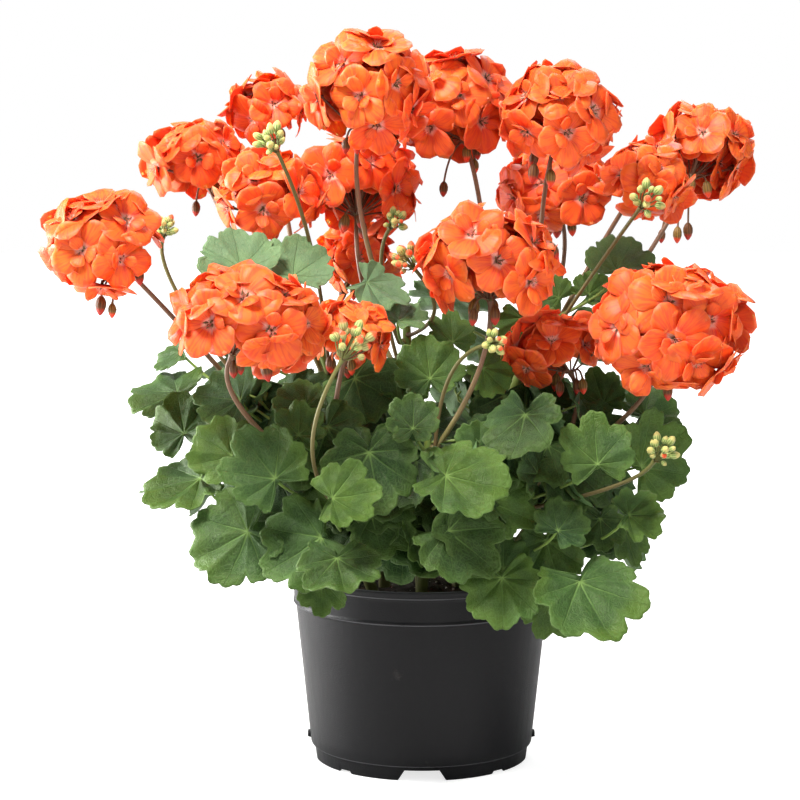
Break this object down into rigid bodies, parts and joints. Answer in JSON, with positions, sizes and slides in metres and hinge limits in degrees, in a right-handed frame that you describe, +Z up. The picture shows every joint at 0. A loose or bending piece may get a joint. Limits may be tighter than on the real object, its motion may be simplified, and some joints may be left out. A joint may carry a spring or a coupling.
{
  "type": "potted geranium",
  "caption": "Orange-flowered zonal geranium with round lobed leaves, ball-shaped flower heads on long stalks and green bud clusters, growing in a round black plastic nursery pot.",
  "frame": {"origin": "on the ground under the middle of the whole plant's box, about 7 mm from the pot's axis", "axes": "+Z up, -Y to the viewer of the picture, +X to the viewer's right"},
  "size_m": [0.5328, 0.3805, 0.5569],
  "materials": {
    "pot": "satin",
    "soil": "matte",
    "leaf": "matte",
    "stalk": "satin",
    "petal": "satin",
    "bud": "satin"
  },
  "bodies": {
    "root": {"pot": "pot", "soil": "soil", "leafy_stem_01": "leaf", "leafy_stem_02": "leaf", "leafy_stem_03": "leaf", "leafy_stem_04": "leaf", "leafy_stem_05": "leaf", "leafy_stem_06": "leaf", "leafy_stem_07": "leaf", "leafy_stem_08": "leaf", "leafy_stem_09": "leaf", "leafy_stem_10": "leaf", "flower_stalk_a": "stalk", "flower_stalk_b": "stalk", "flower_stalk_c": "stalk", "flower_stalk_d": "stalk", "flower_stalk_e": "stalk", "flower_stalk_f": "stalk", "flower_stalk_g": "stalk", "flower_stalk_h": "stalk", "flower_stalk_i": "stalk", "flower_stalk_j": "stalk", "flower_stalk_k": "stalk", "flower_stalk_l": "stalk", "flower_stalk_m": "stalk", "flower_stalk_n": "stalk", "flower_stalk_o": "stalk", "flower_stalk_p": "stalk", "flower_stalk_q": "stalk", "flower_stalk_r": "stalk", "flower_stalk_s": "stalk", "flower_head_a": "petal", "flower_head_b": "petal", "flower_head_c": "petal", "flower_head_d": "petal", "flower_head_e": "petal", "flower_head_f": "petal", "flower_head_g": "petal", "flower_head_h": "petal", "flower_head_i": "petal", "flower_head_j": "petal", "flower_head_k": "petal", "flower_head_l": "petal", "flower_head_m": "petal", "flower_head_n": "petal", "flower_head_o": "petal", "flower_head_p": "petal", "flower_head_q": "petal", "flower_head_r": "petal", "flower_head_s": "petal", "bud_cluster_a": "bud", "bud_cluster_b": "bud", "bud_cluster_c": "bud", "bud_cluster_d": "bud", "bud_cluster_e": "bud", "bud_cluster_f": "bud", "bud_cluster_g": "bud", "bud_cluster_h": "bud"}
  },
  "joints": []
}
